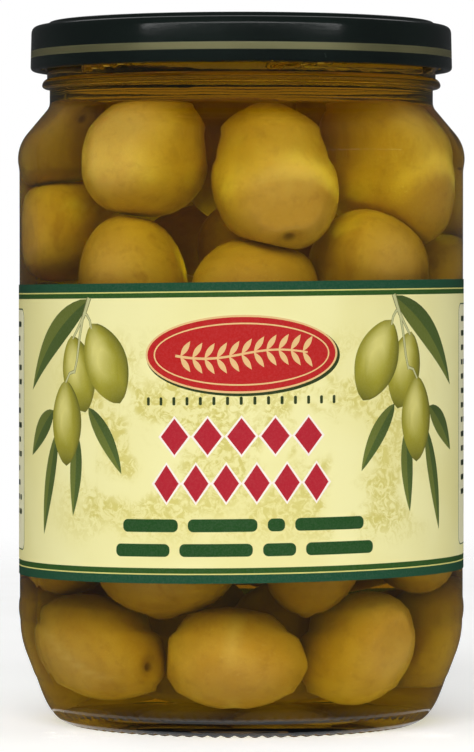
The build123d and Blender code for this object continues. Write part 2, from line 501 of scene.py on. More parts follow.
inside_brine = np.array(inner_outline(BRINE_Z))
way = directions(inside_brine)
brine_wall = inside_brine + INTO_WALL * np.stack([way[:, 1], -way[:, 0]], 1)
brine_wall[0, 0] = 0.0
brine_wall[-1] = (INNER_NECK_R + INTO_WALL, BRINE_Z + MENISCUS)
surface = [
    (r, BRINE_Z + MENISCUS * np.exp(-(INNER_NECK_R - r) / 1.1))
    for r in (INNER_NECK_R, 36.1, 35.7, 35.2, 34.5, 33.5, 32.0, 28.0, 20.0, 10.0, 0.0)
]
brine_outline = joined([tuple(p) for p in brine_wall], surface)


def brine_shape(angle, r, z):
    """The brine follows the inside of the glass."""
    return r + np.where(r > 30, inner_unevenness(angle, z), 0), z


brine = turned("brine_looks", brine_outline, BRINE_SEGMENTS, brine_shape)
brine.data.materials.append(see_through("olive_brine", 1.34, (0.923, 0.908, 0.0, 1), 130.0))
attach(brine, "root")
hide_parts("brine")

# -------- olives

# Olives seen from the front: azimuth, height of the middle, length, width and the way that the
# stem end points, as (outwards, towards a growing azimuth, up).
FRONT_OLIVES = [
    (-36.5, 113.0, 25.0, 22.4, (-1.0, 0.1, -0.1)),
    (11.0, 107.6, 28.0, 22.6, (0.57, 0.04, -0.82)),
    (64, 109.4, 29.0, 26.4, (-0.3, 0.25, 1.0)),
    (-79, 100.2, 25.0, 22.0, (-0.8, -0.5, 0.35)),
    (-39, 89.8, 27.0, 21.4, (-0.25, 0.0, -1.0)),
    (4, 88.0, 23.6, 21.6, (-0.7, 0.9, 0.1)),
    (49, 93.0, 27.0, 23.4, (-0.6, 0.6, -0.8)),
    (97, 88.5, 25.0, 21.0, (0.0, 1.0, 0.2)),
    (-85, 79.5, 24.0, 20.5, (0.1, 1.0, 0.1)),
    (-54, 17.0, 31.0, 20.0, (-0.05, 0.98, -0.14)),
    (-1.5, 15.9, 25.6, 19.4, (-0.1, -1.0, 0.05)),
    (43, 17.4, 24.0, 20.6, (-0.9, -0.2, -0.4)),
    (91, 19.0, 25.0, 20.0, (0.1, 1.0, 0.2)),
    (-26, 33.8, 26.5, 22.0, (0.1, 1.0, 0.15)),
    (24, 36.5, 26.0, 19.6, (0.1, 0.1, 1.0)),
    (73, 37.5, 26.0, 21.0, (-0.4, 0.8, 0.5)),
    (-78, 37.5, 25.0, 21.0, (-0.4, 0.7, -0.5)),
    (-82, 117.0, 23.0, 19.0, (-0.3, 1.0, 0.0)),
]
WAIST_CREASED = 10  # the one in the middle of the lowest row
DEEP_SCARS = (1, 9)  # the ones that show their stem ends
# How much painted shade, a darker brown, is laid on some of them: some in the lowest row, the row above it
# under the label's edge, and one high up under the shoulder.
PAINTED_SHADE = {9: 0.3, 10: 0.22, 12: 0.2, 13: 0.85, 14: 0.85, 15: 0.7, 16: 0.7, 17: 0.9}

# The other olives against the glass: their heights, and azimuths round the back or hidden by the label.
OTHER_RINGS = [
    (17.5, (139, 181, 223, 265)),
    (36.5, (122, 170, 215, 247)),
    (54.5, (-52, -3, 46, 97, 150, 203, 256)),
    (72.5, (-36, 14, 64, 115, 168, 222)),
    (88.0, (147, 198, 246)),
    (109.0, (106, 152, 199, 243)),
]
# The olives in the middle: their heights, and how many there are at each.
CORE = [(20, 2), (40, 2), (60, 2), (80, 2), (99, 2), (118, 1)]

rng = np.random.default_rng(11)


def out_and_along(azimuth):
    """The outward and sideways directions at an azimuth."""
    a = radians(azimuth)
    return np.array([sin(a), -cos(a), 0.0]), np.array([cos(a), sin(a), 0.0])


placed = []


def add_olive(azimuth, distance, z, length, width, heading, freedom, pull):
    """Notes one olive before they settle: how freely it moves, and its drift outwards."""
    outward, along = out_and_along(azimuth)
    way = unit(heading[0] * outward + heading[1] * along + heading[2] * UP)
    placed.append((outward * distance + UP * z, way, length / 2, width / 2, freedom, pull))


for azimuth, z, length, width, heading in FRONT_OLIVES:
    add_olive(azimuth, INNER_R - 0.3 - width / 2, z, length, width, heading, 0.06, 0.05)
for z, azimuths in OTHER_RINGS:
    for azimuth in azimuths:
        length, width = rng.uniform(23.5, 26.5), rng.uniform(19.5, 22.0)
        heading = (rng.uniform(-0.4, 0.4), rng.choice([-1, 1]), rng.uniform(-0.8, 0.8))
        add_olive(azimuth, 31.0, z + rng.uniform(-1, 1), length, width, heading, 1.0, 0.05)
core_from = len(placed)
for z, count in CORE:
    turn = rng.uniform(0, 360)
    for k in range(count):
        length, width = rng.uniform(23, 26), rng.uniform(18.5, 21)
        heading = (rng.uniform(-0.4, 0.4), rng.uniform(-0.6, 0.6), 1)
        distance = 10.5 if count > 1 else 2.0
        add_olive(turn + 180 * k, distance, z, length, width, heading, 1.0, -0.01)

centre, axis, half_length, half_width, freedom, pull = (np.array(column) for column in zip(*placed))
home = centre

# Each olive counts as a few balls in a row while they push each other and the glass away.
steps = np.linspace(-1, 1, BALLS)
end_r = 0.8 * half_width
spots = steps * (half_length - end_r)[:, None]
ball_r = half_width[:, None] - (half_width - end_r)[:, None] * steps**2
flat_r = ball_r.ravel()
owner = np.repeat(np.arange(len(centre)), BALLS)
wall_rows = []
for a, b in zip(inside_rows, inside_rows[1:]):
    wall_rows += line(a, b, ceil(hypot(b[0] - a[0], b[1] - a[1])))[:-1]
wall_line = np.array(wall_rows)
wall_way = directions(wall_line)
wall_in = np.stack([-wall_way[:, 1], wall_way[:, 0]], 1)


def balls_now():
    """The places of every olive's balls."""
    return (centre[:, None] + spots[..., None] * axis[:, None]).reshape(-1, 3)


for step in range(SETTLING_STEPS):
    balls = balls_now()
    apart = balls[:, None] - balls[None]
    distance = np.linalg.norm(apart, axis=2) + 1e-9
    overlap = np.clip(flat_r[:, None] + flat_r[None] - distance, 0, None)
    overlap[owner[:, None] == owner[None]] = 0
    push = (0.06 * (overlap / distance)[..., None] * apart).sum(1)
    reach = np.hypot(balls[:, 0], balls[:, 1])
    place = np.stack([reach, balls[:, 2]], 1)
    nearest = np.argmin(((place[:, None] - wall_line[None]) ** 2).sum(2), axis=1)
    depth = ((place - wall_line[nearest]) * wall_in[nearest]).sum(1)
    short = np.clip(flat_r + CLEARANCE - depth, 0, None)
    inward = wall_in[nearest] * (0.2 * short)[:, None]
    push[:, 2] -= 0.2 * np.clip(balls[:, 2] + flat_r - CEILING, 0, None)
    out = balls[:, :2] / (reach[:, None] + 1e-9)
    push[:, :2] += inward[:, :1] * out
    push[:, 2] += inward[:, 1]
    moved = push.reshape(-1, BALLS, 3)
    total = moved.sum(1)
    radial = centre * [1, 1, 0] / (np.linalg.norm(centre[:, :2], axis=1)[:, None] + 1e-9)
    settle = max(0.0, 1 - step / SINKING_STEPS)
    drift = settle * (pull[:, None] * radial - 0.02 * UP)
    ease = freedom[:, None]
    homing = np.where(ease < 0.5, 0.25 * (home - centre), 0)
    centre = centre + ease * (total + drift) + homing
    twist = (moved * spots[..., None]).sum(1) / (spots**2).sum(1)[:, None]
    twist -= (twist * axis).sum(1)[:, None] * axis
    axis = unit(axis + np.where(ease < 0.5, 0.01, 0.6) * twist)

# Flat places where olives touch: for each olive, points and directions of planes that it stays behind.
balls = balls_now()
contacts = [[] for _ in centre]
gaps = np.linalg.norm(balls[:, None] - balls[None], axis=2) - flat_r[:, None] - flat_r[None]
for i in range(len(centre)):
    for j in range(i + 1, len(centre)):
        block = gaps[BALLS * i : BALLS * (i + 1), BALLS * j : BALLS * (j + 1)]
        if block.min() < TOUCHING:
            a, b = np.unravel_index(block.argmin(), block.shape)
            pa, pb = balls[BALLS * i + a], balls[BALLS * j + b]
            n = unit(pb - pa)
            point = pa + n * (flat_r[BALLS * i + a] + block.min() / 2)
            contacts[i].append((point, n))
            contacts[j].append((point, -n))

glass_wall = np.array(inside_rows[6:])  # from the floor's edge upwards


def soft_min(a, b, width):
    """The smaller of a and b, with the corner between them rounded."""
    low = np.minimum(a, b)
    return low - width * np.log1p(np.exp(-np.abs(a - b) / width))


def olive_surface(index):
    """Points of one olive, and what its material reads at them."""
    u = np.linspace(0, 1, DOWN + 1)[1:-1]
    t = pi * (u - 0.075 * np.sin(2 * pi * u))
    turn = np.arange(AROUND) * 2 * pi / AROUND
    t, turn = np.meshgrid(t, turn, indexing="ij")
    t = np.concatenate([[0.0], t.ravel(), [pi]])
    turn = np.concatenate([[0.0], turn.ravel(), [0.0]])
    taper = rng.uniform(0.02, 0.1)
    plump = rng.uniform(0.86, 0.97)
    across = np.sin(t) ** plump * (1 + taper * np.cos(t))
    local = np.stack([across * np.cos(turn), across * np.sin(turn), np.cos(t)], 1)
    # Low lumps and hollows all over.
    lumps = np.zeros(len(t))
    for _ in range(5):
        d = rng.normal(size=3)
        d *= rng.uniform(1.2, 3.2) / np.linalg.norm(d)
        lumps += np.sin(local @ d + rng.uniform(0, 2 * pi))
    swell = 1 + rng.uniform(0.006, 0.013) * lumps
    b, a = half_width[index], half_length[index]
    points = local * swell[:, None] * [b, b * rng.uniform(0.97, 1.0), a]
    # A scar where the stem was, in a shallow hollow with a soft rim, and a small point at the tip.
    hollow = rng.uniform(0.4, 0.9) + (0.8 if index in DEEP_SCARS else 0.0)
    from_stem = t * b
    points[:, 2] -= hollow * bell(from_stem, 2.2) + 0.5 * bell(from_stem, 0.8)
    points[:, 2] += 0.15 * bell(from_stem - 2.8, 0.9)
    points[:, 2] -= rng.uniform(0.2, 0.7) * bell((pi - t) * b, 1.6)
    # A crease pressed along part of the skin on some of them, and round the waist of one.
    crease_turn = rng.uniform(0, 2 * pi)
    crease_depth = rng.uniform(0.15, 0.4) if rng.random() < 0.45 else 0.0
    away = (turn - crease_turn - 0.35 * np.sin(2 * t) + pi) % (2 * pi) - pi
    fade = smooth_step(0.5, 1.1, t) * (1 - smooth_step(1.9, 2.5, t))
    crease = bell(away * b * np.sin(t), 0.8) * fade
    if index == WAIST_CREASED:
        crease_depth = 0.35
        crease = bell((t - 1.62 - 0.05 * np.sin(3 * turn)) * a, 0.7)
    points[:, :2] *= (1 - crease_depth * crease / b)[:, None]
    crease *= crease_depth > 0
    grain = points + rng.uniform(-400, 400, 3)
    # Into place.
    w = axis[index]
    side = unit(np.cross(w, UP if abs(w[2]) < 0.9 else [1.0, 0, 0]))
    other = np.cross(w, side)
    spin = rng.uniform(0, 2 * pi)
    x_way = cos(spin) * side + sin(spin) * other
    y_way = np.cross(w, x_way)
    points = centre[index] + points[:, :1] * x_way + points[:, 1:2] * y_way + points[:, 2:] * w
    # Pressed flat against neighbours and the glass.
    for point, n in contacts[index]:
        height = (points - point) @ n
        points = points + (soft_min(height, 0.0, CONTACT_ROUNDING) - height)[:, None] * n
    reach = np.hypot(points[:, 0], points[:, 1])
    limit = np.interp(points[:, 2], glass_wall[:, 1], glass_wall[:, 0]) - GLASS_GAP
    held = soft_min(reach, limit, GLASS_ROUNDING)
    points[:, :2] *= (held / np.maximum(reach, 1e-6))[:, None]
    return points, bell(from_stem, 1.05), crease, grain


# Every olive's points and faces, and what the material reads: the last three are the same all over an olive.
olive_points, faces = [], []
traits = {"scar": [], "crease": [], "grain": [], "tone": [], "painted_shade": [], "blush": []}
per_olive = AROUND * (DOWN - 1) + 2
k = np.arange(AROUND)
after = (k + 1) % AROUND
for index in range(len(centre)):
    points, *found = olive_surface(index)
    olive_points.append(points)
    # Olives in the middle of the jar get painted shade, more of it the lower they sit.
    core_painted_shade = np.interp(centre[index][2], (60, 95), (0.6, 0.15)) * (index >= core_from)
    even = (rng.normal(0, 0.5), PAINTED_SHADE.get(index, core_painted_shade), rng.random())
    found += [np.full(per_olive, value) for value in even]
    for kept, values in zip(traits.values(), found):
        kept.append(values)
    start = index * per_olive
    faces += zip([start] * AROUND, start + 1 + k, start + 1 + after)
    for row in range(DOWN - 2):
        low = start + 1 + row * AROUND
        faces += zip(low + k, low + AROUND + k, low + AROUND + after, low + after)
    low = start + 1 + (DOWN - 2) * AROUND
    faces += zip(low + k, [start + per_olive - 1] * AROUND, low + after)

olives = add_mesh("olives", np.vstack(olive_points), faces, sharp_deg=180.0)
for name, values in traits.items():
    store(olives, name, np.concatenate(values), "FLOAT_VECTOR" if name == "grain" else "FLOAT")


def olive_material():
    """Cured olive skin: golden green with browner patches, fine mottling and a dark stem scar, and painted
    shade on olives that sit in shadow.
    """
    n = Nodes(bpy.data.materials.new("olive_skin"))
    grain = n.attribute("grain", "Vector")
    patches = n.noise(grain, 0.07, detail=2.0)
    mottle = n.noise(grain, 0.45, detail=5.0, roughness=0.6)
    fine = n.noise(grain, 2.2, detail=3.0)
    ripe = n.math("ADD", n.stretch(patches, 0.35, 0.65), n.times(n.attribute("tone"), 0.35))
    ripe = n.stretch(ripe, -0.1, 1.1, smooth=False)
    streaks = n.stretch(n.noise(grain, 0.11, detail=3.0, distortion=0.6), 0.58, 0.7)
    bruise = n.times(streaks, n.stretch(n.attribute("blush"), 0.35, 1.0))
    colour = n.tinted(
        n.mix(ripe, srgb(199, 157, 60), srgb(181, 136, 39)),
        (n.stretch(mottle, 0.45, 0.75, 0.0, 0.28), srgb(140, 94, 28)),
        (n.stretch(fine, 0.55, 0.8, 0.0, 0.2), srgb(218, 186, 104)),
        (n.times(bruise, 0.4), srgb(148, 98, 30)),
        (n.times(n.attribute("crease"), 0.3), srgb(228, 196, 112)),
        (n.stretch(n.attribute("scar"), 0.3, 0.9, 0.0, 0.8), srgb(96, 62, 18)),
        # Painted shade: a darker brown on olives that sit in shadow.
        (n.times(n.attribute("painted_shade"), 0.7), srgb(100, 64, 16)),
    )
    height = n.math("ADD", n.times(mottle, 0.6), n.times(fine, 0.4))
    skin = {
        "Base Color": colour,
        "Roughness": n.stretch(mottle, 0.3, 0.7, 0.32, 0.48),
        "Specular IOR Level": 0.15,
        "Subsurface Weight": 0.2,
        "Subsurface Radius": (1.0, 0.55, 0.15),
        "Subsurface Scale": 0.004,
        "Normal": n.bump(height, 0.00009),
    }
    return n.finish(n.add("BsdfPrincipled", skin))


olives.data.materials.append(olive_material())
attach(olives, "root")

# -------- lid

lid_under = [
    ((0, LID_MIDDLE_Z - BUTTON_DROP - STEEL), 0),
    ((BUTTON_R - 1.6, LID_MIDDLE_Z - BUTTON_DROP - STEEL), 0.5),
    ((BUTTON_R - 0.1, LID_MIDDLE_Z - STEEL), 0.8),
    ((RING_INSIDE_R - 1.4, LID_MIDDLE_Z - STEEL), 0.1),
    ((RING_INSIDE_R - 1.0, RIM_Z), 0.1),
    ((SKIRT_TOP_R - STEEL - 1.2, RIM_Z), 0.4),
    ((SKIRT_TOP_R - STEEL, RIM_Z - 1.4), 0.6),
    ((SKIRT_R - STEEL, SKIRT_Z + CURL + 0.69), 0),
]
lid_over = [
    ((SKIRT_R, SKIRT_Z + CURL), 0),
    ((SKIRT_TOP_R, LEDGE_Z), 1.9),
    ((RING_R, LEDGE_Z), 0.35),
    ((RING_R - 0.35, RING_Z), 0.7),
    ((RING_INSIDE_R, RING_Z), 0.7),
    ((RING_INSIDE_R - 0.9, LID_MIDDLE_Z), 0.5),
    ((BUTTON_R, LID_MIDDLE_Z), 0.5),
    ((BUTTON_R - 1.5, LID_MIDDLE_Z - BUTTON_DROP), 0.8),
    ((0, LID_MIDDLE_Z - BUTTON_DROP), 0),
]
lid_outline = joined(
    rounded(lid_under),
    arc((SKIRT_R - CURL, SKIRT_Z + CURL), CURL, 60, 360, 20),
    rounded(lid_over, 8),
)


def lid_shape(angle, r, z):
    """Lugs pressed inwards from the curl."""
    local = (angle - radians(30) + pi / LUGS) % (2 * pi / LUGS) - pi / LUGS
    lug = 1 - smooth_step(0.07, 0.12, np.abs(local))
    inner_curl = (z < SKIRT_Z + 2 * CURL + 0.01) & (r < SKIRT_R - CURL)
    press = LUG_REACH * lug * np.clip((SKIRT_R - CURL - r) / CURL, 0, 1)
    return r - np.where(inner_curl, press, 0), z


lid = turned("lid_looks", lid_outline, LID_SEGMENTS, lid_shape, sharp_deg=60.0)


def lid_material():
    """Gloss paint on steel, nearly black, with a thin gold line round the skirt and light wear."""
    n = Nodes(bpy.data.materials.new("lid_paint"))
    place = n.place()
    _, _, z = n.split(place)
    above_low, above_high = (n.stretch(z, (edge - 0.06) * MM, (edge + 0.06) * MM) for edge in STRIPE)
    stripe = n.math("SUBTRACT", above_low, above_high)
    cloud = n.noise(place, 45.0)
    scuffs = n.stretch(n.noise(place, 900.0, roughness=0.7), 0.66, 0.76)
    base = n.mix(n.stretch(cloud, 0.3, 0.7), srgb(13, 19, 17), srgb(18, 26, 23))
    gold = n.mix(n.stretch(cloud, 0.35, 0.65), srgb(168, 166, 120), srgb(184, 180, 132))
    worn = n.math("ADD", n.stretch(cloud, 0.3, 0.7, 0.11, 0.17), n.times(scuffs, 0.2))
    paint = {
        "Base Color": n.tinted(base, (n.times(scuffs, 0.25), srgb(80, 90, 84)), (stripe, gold)),
        "Metallic": n.times(stripe, 0.85),
        "Roughness": n.math("ADD", worn, n.times(stripe, 0.25)),
        "Coat Weight": 0.25,
        "Coat Roughness": 0.12,
        "Normal": n.bump(n.noise(place, 700.0, detail=2.0), 0.00002),
    }
    return n.finish(n.add("BsdfPrincipled", paint))


def lacquer_material():
    """Gold lacquer inside the lid, uneven in tone."""
    n = Nodes(bpy.data.materials.new("lid_lacquer"))
    tone = n.noise(n.place(), 60.0)
    lacquer = {
        "Base Color": n.mix(n.stretch(tone, 0.3, 0.7), srgb(238, 190, 110), srgb(226, 176, 96)),
        "Roughness": n.stretch(tone, 0.3, 0.7, 0.3, 0.42),
    }
    return n.finish(n.add("BsdfPrincipled", lacquer))


lid.data.materials.append(lid_material())
lid.data.materials.append(lacquer_material())
lacquered = LID_SEGMENTS * (len(rounded(lid_under)) - 1)
painted = len(lid.data.polygons) - lacquered
lid.data.polygons.foreach_set("material_index", [1] * lacquered + [0] * painted)
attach(lid, "root")
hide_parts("lid")

# -------- label

# The print is laid out flat: u runs round the jar from the middle of the front, v is the height.
CREAM = srgb(242, 236, 172)
BAND_GREEN = srgb(26, 76, 50)
THIN_GREEN = srgb(44, 84, 28)
GOLD = srgb(214, 208, 120)
RED = srgb(186, 30, 30)
TITLE_RED = srgb(178, 30, 46)
OUTLINE = srgb(250, 238, 226)
BUFF = srgb(232, 190, 130)
INK = srgb(44, 60, 22)
TEXT_GREEN = srgb(34, 78, 32)
LEAF_DARK = srgb(74, 93, 40)
LEAF_LIGHT = srgb(102, 113, 45)
STEM = srgb(196, 196, 142)
STEM_EDGE = srgb(120, 118, 70)

half_turn = pi * LABEL_R
label_start, label_end = -half_turn - SEAM / 2, half_turn + SEAM / 2
shapes = []


def put(points, colour, mottled=0.0, shade=None):
    """Adds a printed shape on top of the earlier ones. shade(u, v) gives a colour at a point."""
    shapes.append((points, colour, mottled, shade))


def box(u0, v0, u1, v1, colour, round_by=0.0, **more):
    """A rectangle, with its corners rounded if need be."""
    left, right, low, high = u0 + round_by, u1 - round_by, v0 + round_by, v1 - round_by
    corners = ((right, low, -90), (right, high, 0), (left, high, 90), (left, low, 180))
    turns = [arc((u, v), round_by, start, start + 90, 5) for u, v, start in corners]
    put(joined(*turns), colour, **more)


def ellipse(u, v, half_u, half_v, colour):
    """An ellipse."""
    turn = np.linspace(0, 2 * pi, 72, endpoint=False)
    put([(u + half_u * cos(a), v + half_v * sin(a)) for a in turn], colour)


def ribbon(points, width, colour):
    """A stroke along points, narrowing a little towards its end."""
    points = np.array(points, float)
    way = directions(points)
    half = np.linspace(1, 0.75, len(points))[:, None] * width / 2
    side = np.stack([-way[:, 1], way[:, 0]], 1) * half
    put(np.vstack([points + side, (points - side)[::-1]]), colour)


def spine(a, b, count, bow=0.0):
    """A line from a to b, bowed sideways: shares of its length, its points, and the way across it."""
    a, b = np.array(a, float), np.array(b, float)
    across = unit(np.array([a[1] - b[1], b[0] - a[0]]))
    t = np.linspace(0, 1, count)
    return t, a + t[:, None] * (b - a) + (bow * 4 * t * (1 - t))[:, None] * across, across


def round_spine(middle, half, across):
    """A closed outline round a line, at half widths that are zero at its ends."""
    wide = half[:, None] * across
    return np.vstack([middle + wide, (middle - wide)[1:-1][::-1]])


def leaf(base, tip, width, bow):
    """A long leaf, half of it dark and half light along its bowed midrib."""
    t, rib, across = spine(base, tip, 15, bow)
    along = rib[-1] - rib[0]
    wide = (width / 2 * np.sin(pi * t**0.8) ** 0.85)[:, None] * across
    for edge, colour in ((rib + wide, LEAF_DARK), (rib - wide, LEAF_LIGHT)):

        def shade(u, v, colour=colour):
            """Paler towards the tip."""
            run = (np.array([u, v]) - rib[0]) @ along / (along @ along)
            return tuple(c * (0.85 + 0.35 * run) for c in colour[:3]) + (1.0,)

        put(np.vstack([rib, edge[1:-1][::-1]]), colour, shade=shade)


def printed_olive(top, bottom, width):
    """A drawn olive: pale where light falls, darker towards its edge and its pointed end."""
    t, middle, across = spine(top, bottom, 25)
    along = middle[-1] - middle[0]
    outline = round_spine(middle, width / 2 * np.sin(pi * t**1.02) ** 0.62 * (1 - 0.1 * t), across)
    pale, mid, dark = srgb(218, 210, 122), srgb(170, 162, 48), srgb(76, 80, 24)

    def shade(u, v):
        """The colour at a point, from how far along and across the olive it lies."""
        q = np.array([u, v]) - middle[0]
        run = q @ along / (along @ along)
        here = width / 2 * max(sin(pi * min(max(run, 0.01), 0.99)), 0.05) ** 0.62
        off = (q @ across) / here
        glow = max(0.0, 1 - hypot((run - 0.34) / 0.42, (off + 0.2) / 0.7))
        edge = max(abs(off + 0.15) / 1.1, abs(run - 0.42) / 0.58) ** 2.4
        colour = [m + (p - m) * min(1, glow * 1.5) for p, m in zip(pale, mid)]
        return tuple(c + (d - c) * min(1.0, 0.85 * edge) for c, d in zip(colour[:3], dark)) + (1.0,)

    # Smaller copies inside it give the mesh points there, so that the shading is kept.
    heart = (middle[0] + middle[-1]) / 2
    for size in (1.0, 0.93, 0.8, 0.6, 0.35):
        put(heart + size * (outline - heart), mid, shade=shade)


def words(u, v, lengths):
    """A line of plain bars in place of words."""
    for length in lengths:
        box(u, v, u + length, v + 2.5, TEXT_GREEN, round_by=1.05)
        u += length + 2.0


box(label_start, LABEL_LOW, label_end, LABEL_HIGH, CREAM, mottled=1.0)
for low, high, colour in (
    (87.7, LABEL_HIGH, BAND_GREEN),
    (87.45, 87.7, GOLD),
    (86.5, 87.45, THIN_GREEN),
    (LABEL_LOW, 32.7, BAND_GREEN),
    (32.7, 32.95, GOLD),
    (32.95, 34.0, THIN_GREEN),
):
    box(label_start, low, label_end, high, colour)

# The left branch: leaves as (base, tip, width, bow), olives as (top, bottom, width), and stalks.
# The right branch is its mirror image.
BRANCH_LEAVES = (
    ((-32.4, 86.4), (-52.8, 68.4), 5.6, 1.6),
    ((-43.6, 64.5), (-53.0, 55.4), 4.6, 0.5),
    ((-32.8, 65.2), (-24.6, 52.2), 3.6, -0.5),
    ((-42.2, 60.5), (-47.4, 39.8), 3.5, 0.4),
    ((-36.2, 60.5), (-37.2, 43.8), 3.4, -0.3),
)
BRANCH_OLIVES = (
    ((-37.6, 79.2), (-33.6, 64.2), 9.6),
    ((-31.9, 81.6), (-24.9, 66.0), 10.8),
    ((-39.4, 70.5), (-39.2, 53.6), 9.6),
)
TWIG = ((-32.6, 86.6), (-33.4, 84.6), (-34.3, 82.6))
STALKS = (
    ((-34.2, 83.6), (-33.2, 83.3), (-32.4, 82.2), (-32.0, 80.6)),
    ((-34.3, 82.8), (-35.6, 80.8), (-37.2, 78.6)),
    ((-34.3, 82.8), (-35.2, 79.0), (-36.0, 74.4), (-36.8, 71.8)),
    ((-36.8, 72.2), (-38.2, 71.8), (-39.4, 70.0)),
)
for side in (-1, 1):

    def at(point, side=side):
        """A point on the left, or its mirror image on the right."""
        return (-side * point[0], point[1])

    for base, tip, width, bow in BRANCH_LEAVES:
        leaf(at(base), at(tip), width, bow * side)
    for top, bottom, width in BRANCH_OLIVES:
        printed_olive(at(top), at(bottom), width)
    for width, colour in ((1.15, STEM_EDGE), (0.75, STEM)):
        ribbon([at(point) for point in TWIG], width, colour)
        for stalk in STALKS:
            ribbon([at(point) for point in stalk], width * 0.6, colour)


def sprig(u):
    """A point of the sprig's wavy stem."""
    return (u, BADGE_V + 0.8 * sin(u / 4.5))


# A plain red badge with a small sprig, in the middle of the front.
ellipse(0.35, BADGE_V - 0.4, 19.4, 7.75, INK)
for half_u, half_v, colour in ((19.2, 7.6, BUFF), (18.8, 7.2, RED), (17.5, 6.1, BUFF), (17.2, 5.8, RED)):
    ellipse(0.0, BADGE_V, half_u, half_v, colour)
ribbon([sprig(u) for u in np.linspace(-13, 13, 40)], 0.5, BUFF)
for k in range(-5, 6):
    u, v = sprig(2.4 * k)
    for rise in (-3.0, 3.0):
        t, middle, across = spine((u, v), (u + 2.0, v + rise), 9)
        put(round_spine(middle, 0.55 * np.sin(pi * t), across), BUFF)
# A row of small marks, two rows of outlined diamonds, and bars in place of lines of words.
for k in range(15):
    box(-18.9 + 2.65 * k, 65.6, -18.3 + 2.65 * k, 67.2, INK, round_by=0.25)
for count, width, low, high in ((5, 33.0, 55.4, 63.6), (6, 35.6, 46.2, 54.6)):
    pitch = width / count
    v = (low + high) / 2
    for grow, colour in ((0.55, OUTLINE), (0.0, TITLE_RED)):
        half_u, half_v = pitch * 0.42 + grow, (high - low) / 2 - 0.55 + grow
        for k in range(count):
            u = -width / 2 + (k + 0.5) * pitch
            put([(u - half_u, v), (u, v - half_v), (u + half_u, v), (u, v + half_v)], colour)
words(-24.2, 41.0, (11.7, 13.6, 3.4, 14.6))
words(-25.8, 36.2, (11.6, 14.4, 6.5, 14.6))

# Panels at the sides and the back, with a thin frame, bars in place of small print, a block of stripes
# and a round mark with a leaf.
for left, right in ((59.0, 96.0), (100.0, 137.0), (-96.0, -59.0), (-137.0, -100.0)):
    box(left, 36.0, right, 84.6, TEXT_GREEN, round_by=2.0)
    box(left + 0.25, 36.25, right - 0.25, 84.35, srgb(240, 236, 196), round_by=1.75)
small = np.random.default_rng(4)
for left, top, rows in ((61.5, 82.0, 13), (102.5, 82.0, 9), (-93.5, 82.0, 14), (-134.5, 82.0, 8)):
    for row in range(rows):
        u, v = left, top - 2.9 * row
        while u < left + 30:
            length = min(small.uniform(1.6, 6.0), left + 32 - u)
            box(u, v - 1.1, u + length, v, INK, round_by=0.35)
            u += length + 0.9
for k in range(26):
    u = 103.5 + 1.15 * k
    box(u, 40.0, u + small.choice([0.3, 0.5, 0.8]), 52.0, INK)
ellipse(-118.0, 47.5, 8.0, 8.0, TEXT_GREEN)
ellipse(-118.0, 47.5, 7.4, 7.4, CREAM)
leaf((-118.0, 41.5), (-118.0, 54.0), 5.0, 0.6)

# The flat print is cut into triangles, with upright lines close enough together to bend round the jar.
points, edges, outlines = [], [], []
for outline, *_ in shapes:
    ring = np.array(outline)
    area = np.sum(ring[:, 0] * np.roll(ring[:, 1], -1) - ring[:, 1] * np.roll(ring[:, 0], -1))
    outline = outline if area > 0 else outline[::-1]
    start = len(points)
    points += [Vector(p) for p in outline]
    outlines.append(list(range(start, start + len(outline))))
for k in range(1, LABEL_STRIPS):
    u = label_start + (label_end - label_start) * k / LABEL_STRIPS
    edges.append((len(points), len(points) + 1))
    points += [Vector((u, LABEL_LOW)), Vector((u, LABEL_HIGH))]
flat, _, triangles, _, _, sources = delaunay_2d_cdt(points, edges, outlines, 0, 1e-5, True)
flat = np.array([tuple(p) for p in flat])


def wrap(radius, lift):
    """The flat points bent round the jar. They lean with the label, and lift where its end laps over."""
    u, v = flat.T
    azimuth = u / LABEL_R
    over = smooth_step(half_turn - SEAM / 2 - 3.0, half_turn - SEAM / 2 - 0.5, u)
    r = radius + lift * over
    x, y = r * np.sin(azimuth), -r * np.cos(azimuth)
    z = v + LABEL_R * np.sin(azimuth) * tan(LABEL_SKEW)
    return np.stack([x, y, z], 1)


outer = wrap(LABEL_R, PAPER)
inner = wrap(LABEL_R - PAPER - 0.03, PAPER + 0.03)
total = len(flat)
cut_faces, cut_shapes = [], []
for triangle, source in zip(triangles, sources):
    a, b, c = flat[list(triangle)]
    if abs((b[0] - a[0]) * (c[1] - a[1]) - (b[1] - a[1]) * (c[0] - a[0])) < 1e-9:
        continue
    cut_faces.append(tuple(triangle))
    cut_shapes.append(max(source) if source else 0)
sides = dict.fromkeys((a, b) for f in cut_faces for a, b in zip(f, f[1:] + f[:1]))
rim = [(a, b) for a, b in sides if (b, a) not in sides]
faces = list(cut_faces)
faces += [tuple(total + p for p in reversed(f)) for f in cut_faces]
faces += [(b, a, total + a, total + b) for a, b in rim]
label = add_mesh("label_looks", np.vstack([outer, inner]), faces, sharp_deg=30.0)

colours, mottling = [], []
for f, which in zip(cut_faces, cut_shapes):
    _, colour, mottled, shade = shapes[which]
    for p in f:
        colours.append(shade(*flat[p]) if shade else colour)
        mottling.append(mottled)
rest = sum(len(f) for f in faces) - len(colours)
colours += [srgb(225, 222, 205)] * rest
mottling += [0.0] * rest
store(label, "ink", colours, "FLOAT_COLOR", "CORNER")
store(label, "field", mottling, "FLOAT", "CORNER")


